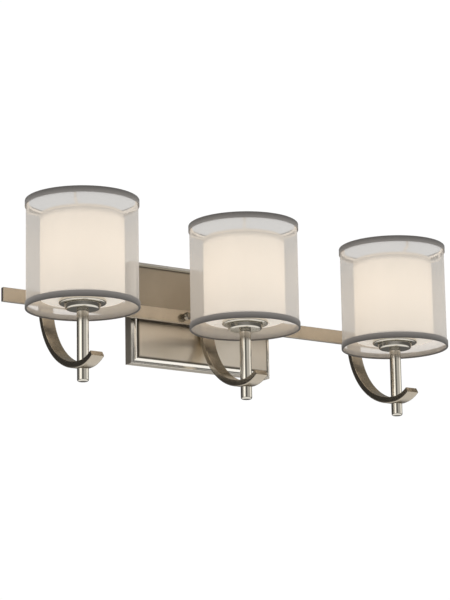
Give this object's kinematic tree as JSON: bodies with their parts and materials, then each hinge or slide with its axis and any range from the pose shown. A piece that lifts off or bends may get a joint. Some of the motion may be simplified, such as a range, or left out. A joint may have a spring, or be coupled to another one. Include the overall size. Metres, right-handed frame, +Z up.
{
  "type": "vanity light bar",
  "caption": "Wall light with a flat bar on a stepped backplate and curved arms that carry sheer drum shades over opal drums.",
  "frame": {"origin": "middle of the wall face of the mounting strap, at the height of the bar's centre line", "axes": "+X along the bar to the viewer's right, +Y into the wall, +Z up"},
  "size_m": [0.559, 0.1672, 0.2046],
  "materials": {
    "antique_nickel": "warm satin plated metal",
    "plated_steel": "zinc plated",
    "green_screw": "green earth screw",
    "sheer": "laminated sheer organza",
    "tape": "grey woven tape",
    "opal_glass": "satin etched opal",
    "white_steel": "white enamel",
    "porcelain": "glazed",
    "bulb_glass": "frosted",
    "lead_sleeve": "sleeved lead"
  },
  "bodies": {
    "fixture": {"backplate": "antique_nickel", "light_bar": "antique_nickel", "mounting_strap": "plated_steel", "earth_screw": "green_screw", "spacer_left": "plated_steel", "spacer_right": "plated_steel", "stud_left": "plated_steel", "stud_right": "plated_steel", "arm_left": "antique_nickel", "arm_middle": "antique_nickel", "arm_right": "antique_nickel", "arm_screw_left": "plated_steel", "arm_screw_middle": "plated_steel", "arm_screw_right": "plated_steel", "stem_left": "antique_nickel", "stem_middle": "antique_nickel", "stem_right": "antique_nickel", "nipple_left": "plated_steel", "nipple_middle": "plated_steel", "nipple_right": "plated_steel", "cup_disc_left": "antique_nickel", "cup_disc_middle": "antique_nickel", "cup_disc_right": "antique_nickel", "cup_tier_left": "antique_nickel", "cup_tier_middle": "antique_nickel", "cup_tier_right": "antique_nickel", "socket_left": "porcelain", "socket_middle": "porcelain", "socket_right": "porcelain", "diffuser_left": "opal_glass", "diffuser_middle": "opal_glass", "diffuser_right": "opal_glass", "hanger_left": "white_steel", "hanger_middle": "white_steel", "hanger_right": "white_steel", "shade_left": "sheer", "shade_middle": "sheer", "shade_right": "sheer", "band_top_left": "tape", "band_top_middle": "tape", "band_top_right": "tape", "band_bottom_left": "tape", "band_bottom_middle": "tape", "band_bottom_right": "tape", "lead_left": "lead_sleeve", "lead_middle": "lead_sleeve", "lead_right": "lead_sleeve"},
    "finial_left_body": {"finial_left": "antique_nickel"},
    "bulb_left_body": {"bulb_left": "bulb_glass"},
    "shade_ring_left_body": {"shade_ring_left": "porcelain"},
    "finial_middle_body": {"finial_middle": "antique_nickel"},
    "bulb_middle_body": {"bulb_middle": "bulb_glass"},
    "shade_ring_middle_body": {"shade_ring_middle": "porcelain"},
    "finial_right_body": {"finial_right": "antique_nickel"},
    "bulb_right_body": {"bulb_right": "bulb_glass"},
    "shade_ring_right_body": {"shade_ring_right": "porcelain"},
    "ball_nut_left_body": {"ball_nut_left": "antique_nickel"},
    "ball_nut_right_body": {"ball_nut_right": "antique_nickel"}
  },
  "joints": [
    {"name": "finial_left_turn", "type": "hinge", "parent": "fixture", "child": "finial_left_body", "pos_m": [-0.216, -0.104, -0.098], "axis": [0, 0, 1], "continuous": true},
    {"name": "bulb_left_turn", "type": "hinge", "parent": "fixture", "child": "bulb_left_body", "pos_m": [-0.216, -0.104, 0.03], "axis": [0, 0, 1], "continuous": true},
    {"name": "shade_ring_left_turn", "type": "hinge", "parent": "fixture", "child": "shade_ring_left_body", "pos_m": [-0.216, -0.104, -0.0085], "axis": [0, 0, 1], "continuous": true},
    {"name": "finial_middle_turn", "type": "hinge", "parent": "fixture", "child": "finial_middle_body", "pos_m": [0, -0.104, -0.098], "axis": [0, 0, 1], "continuous": true},
    {"name": "bulb_middle_turn", "type": "hinge", "parent": "fixture", "child": "bulb_middle_body", "pos_m": [0, -0.104, 0.03], "axis": [0, 0, 1], "continuous": true},
    {"name": "shade_ring_middle_turn", "type": "hinge", "parent": "fixture", "child": "shade_ring_middle_body", "pos_m": [0, -0.104, -0.0085], "axis": [0, 0, 1], "continuous": true},
    {"name": "finial_right_turn", "type": "hinge", "parent": "fixture", "child": "finial_right_body", "pos_m": [0.216, -0.104, -0.098], "axis": [0, 0, 1], "continuous": true},
    {"name": "bulb_right_turn", "type": "hinge", "parent": "fixture", "child": "bulb_right_body", "pos_m": [0.216, -0.104, 0.03], "axis": [0, 0, 1], "continuous": true},
    {"name": "shade_ring_right_turn", "type": "hinge", "parent": "fixture", "child": "shade_ring_right_body", "pos_m": [0.216, -0.104, -0.0085], "axis": [0, 0, 1], "continuous": true},
    {"name": "ball_nut_left_turn", "type": "hinge", "parent": "fixture", "child": "ball_nut_left_body", "pos_m": [-0.03492, -0.036, 0], "axis": [0, -1, 0], "continuous": true},
    {"name": "ball_nut_right_turn", "type": "hinge", "parent": "fixture", "child": "ball_nut_right_body", "pos_m": [0.03492, -0.036, 0], "axis": [0, -1, 0], "continuous": true}
  ]
}
